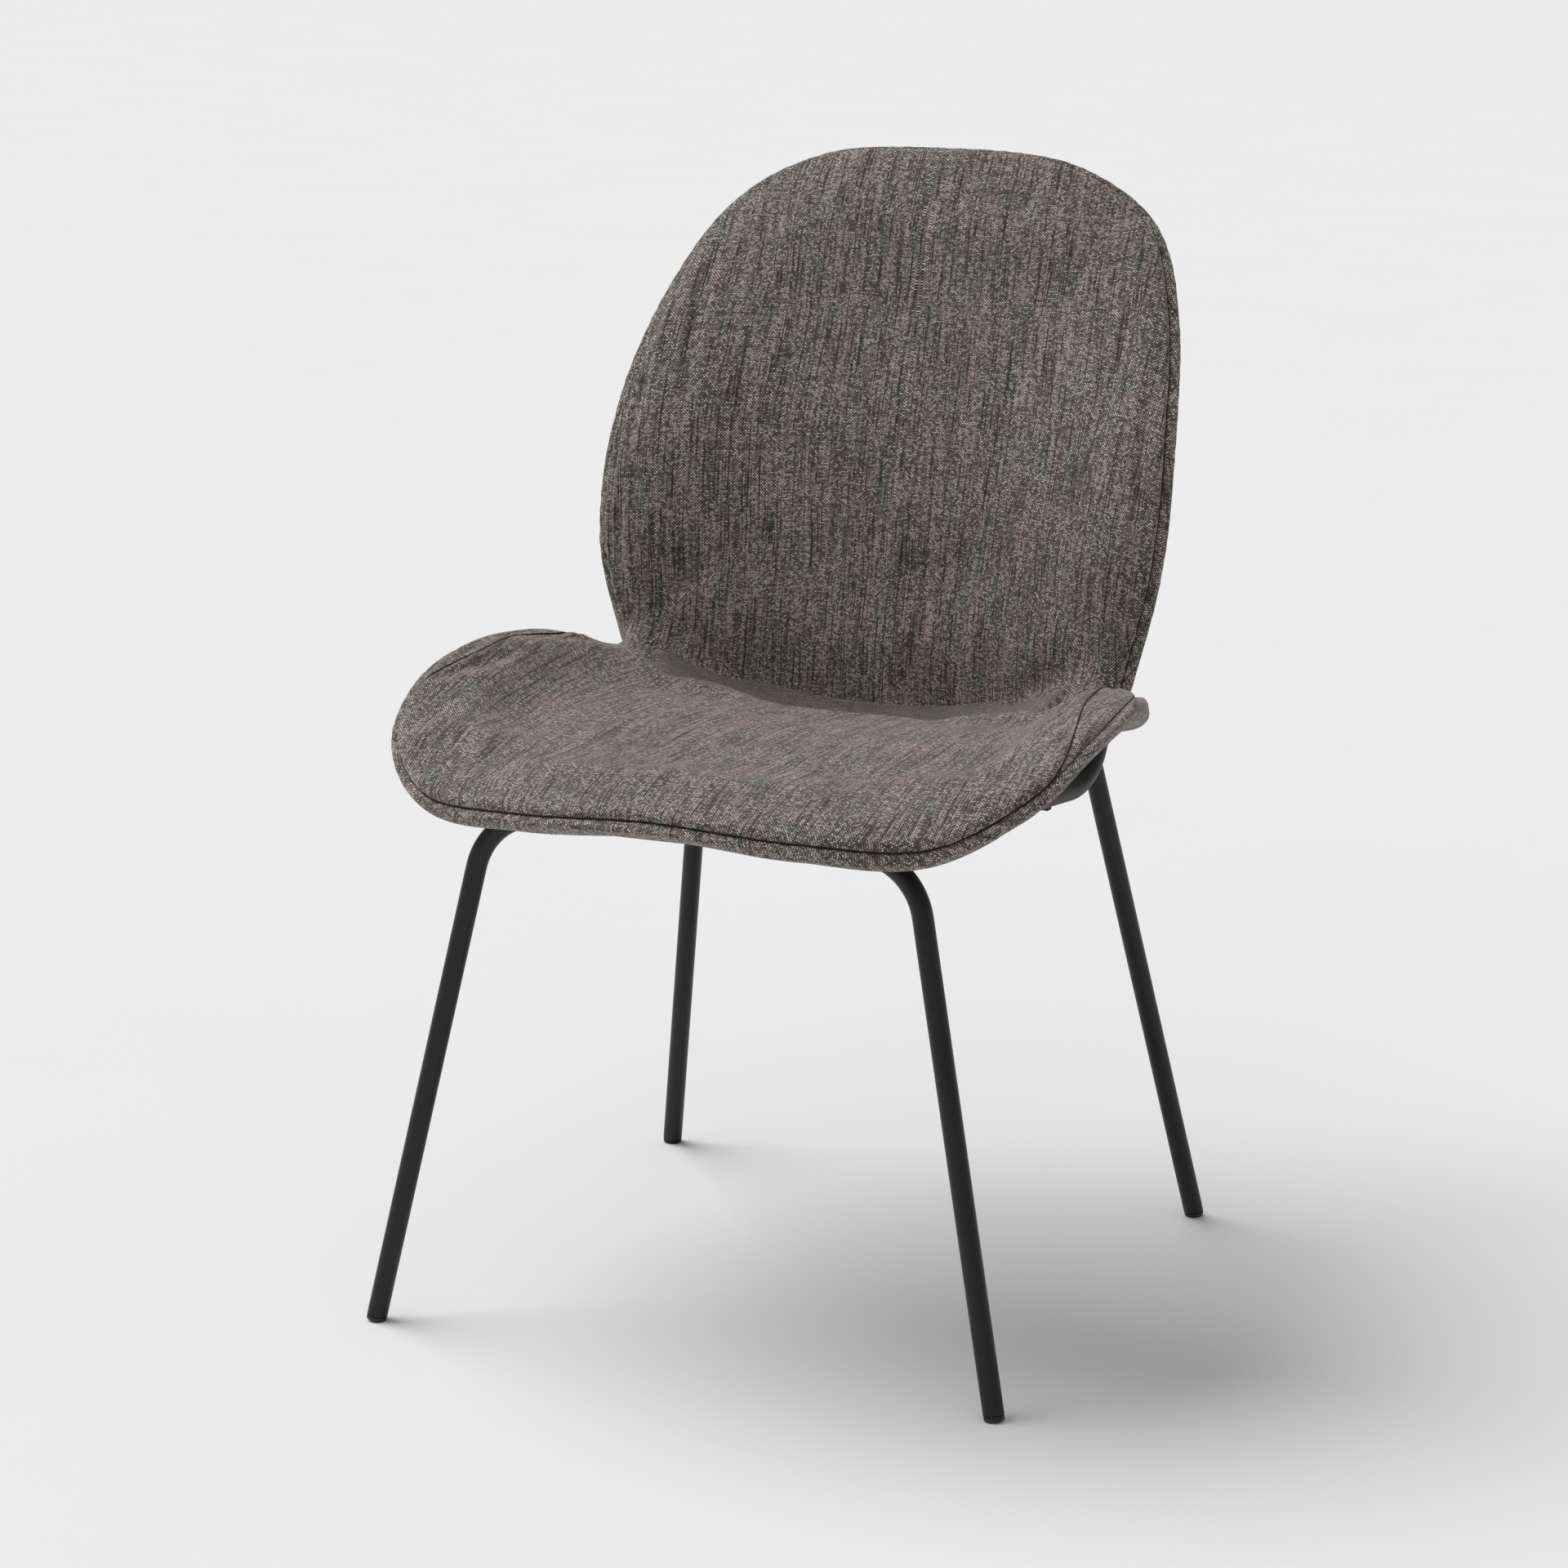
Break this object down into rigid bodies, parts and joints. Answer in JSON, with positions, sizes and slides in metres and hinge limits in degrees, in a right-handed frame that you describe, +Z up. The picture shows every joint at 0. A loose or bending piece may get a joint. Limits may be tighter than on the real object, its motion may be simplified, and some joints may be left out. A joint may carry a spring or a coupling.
{
  "type": "dining chair",
  "caption": "Upholstered dining chair with a shallow winged seat, a rounded wrap back and a slim bent steel tube frame on splayed legs.",
  "frame": {"origin": "on the floor, under the middle of the chair's outline", "axes": "+Z up, -Y towards the front of the chair, +X towards the sitter's left"},
  "size_m": [0.5718, 0.5806, 0.8657],
  "materials": {
    "fabric": "warm grey heathered weave with lighter flecks, over foam",
    "shell": "moulded, hidden by the upholstery",
    "frame": "black powder coat, satin",
    "nylon": "moulded black nylon",
    "brass": "turned and knurled",
    "zinc": "zinc plated",
    "screw": "black oxide"
  },
  "bodies": {
    "root": {"back_insert_lower_left": "brass", "back_insert_lower_right": "brass", "back_insert_upper_left": "brass", "back_insert_upper_right": "brass", "back_pad": "fabric", "back_rear_cover": "fabric", "back_screw_lower_left": "screw", "back_screw_lower_right": "screw", "back_screw_upper_left": "screw", "back_screw_upper_right": "screw", "back_shell": "shell", "back_stem_left": "frame", "back_stem_right": "frame", "back_tab_left": "frame", "back_tab_right": "frame", "back_washer_lower_left": "zinc", "back_washer_lower_right": "zinc", "back_washer_upper_left": "zinc", "back_washer_upper_right": "zinc", "foot_glide_front_left": "nylon", "foot_glide_front_right": "nylon", "foot_glide_rear_left": "nylon", "foot_glide_rear_right": "nylon", "front_leg_frame": "frame", "rear_cross_tube": "frame", "rear_leg_left": "frame", "rear_leg_right": "frame", "seat_insert_front_left": "brass", "seat_insert_front_right": "brass", "seat_insert_rear_left": "brass", "seat_insert_rear_right": "brass", "seat_pad": "fabric", "seat_screw_front_left": "screw", "seat_screw_front_right": "screw", "seat_screw_rear_left": "screw", "seat_screw_rear_right": "screw", "seat_shell": "shell", "seat_tab_front_left": "frame", "seat_tab_front_right": "frame", "seat_tab_rear_left": "frame", "seat_tab_rear_right": "frame", "seat_under_cover": "fabric", "seat_washer_front_left": "zinc", "seat_washer_front_right": "zinc", "seat_washer_rear_left": "zinc", "seat_washer_rear_right": "zinc", "stem_cap_left": "nylon", "stem_cap_right": "nylon"}
  },
  "joints": []
}
